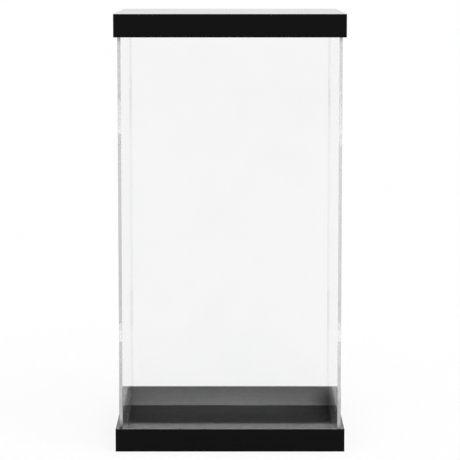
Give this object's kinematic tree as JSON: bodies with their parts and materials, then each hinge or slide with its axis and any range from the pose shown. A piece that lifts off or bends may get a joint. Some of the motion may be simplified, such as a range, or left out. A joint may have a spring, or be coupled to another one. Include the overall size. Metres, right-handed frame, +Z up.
{
  "type": "acrylic display case",
  "caption": "Tall clear acrylic display case with finger-jointed walls, standing in a black tray base under a matching lift-off black tray lid.",
  "frame": {"origin": "middle of the underside of the base tray, on the surface that the case stands on", "axes": "+Z up, the case's front faces -Y, +X to the right as seen from the front"},
  "size_m": [0.2, 0.2, 0.381],
  "materials": {
    "black_acrylic": "black cast acrylic sheet, polished faces with faint hairline scratches",
    "clear_acrylic": "clear cast acrylic sheet, polished faces, laser-cut edges with a grey tint"
  },
  "bodies": {
    "base": {"base_plate": "black_acrylic", "base_rim_front": "black_acrylic", "base_rim_back": "black_acrylic", "base_rim_left": "black_acrylic", "base_rim_right": "black_acrylic"},
    "walls": {"front_panel": "clear_acrylic", "back_panel": "clear_acrylic", "left_panel": "clear_acrylic", "right_panel": "clear_acrylic"},
    "lid": {"lid_plate": "black_acrylic", "lid_rim_front": "black_acrylic", "lid_rim_back": "black_acrylic", "lid_rim_left": "black_acrylic", "lid_rim_right": "black_acrylic"}
  },
  "joints": [
    {"name": "walls_lift", "type": "slide", "parent": "base", "child": "walls", "axis": [0, 0, 1], "range_m": [0, 0.04]},
    {"name": "lid_lift", "type": "slide", "parent": "walls", "child": "lid", "axis": [0, 0, 1], "range_m": [0, 0.06]}
  ]
}
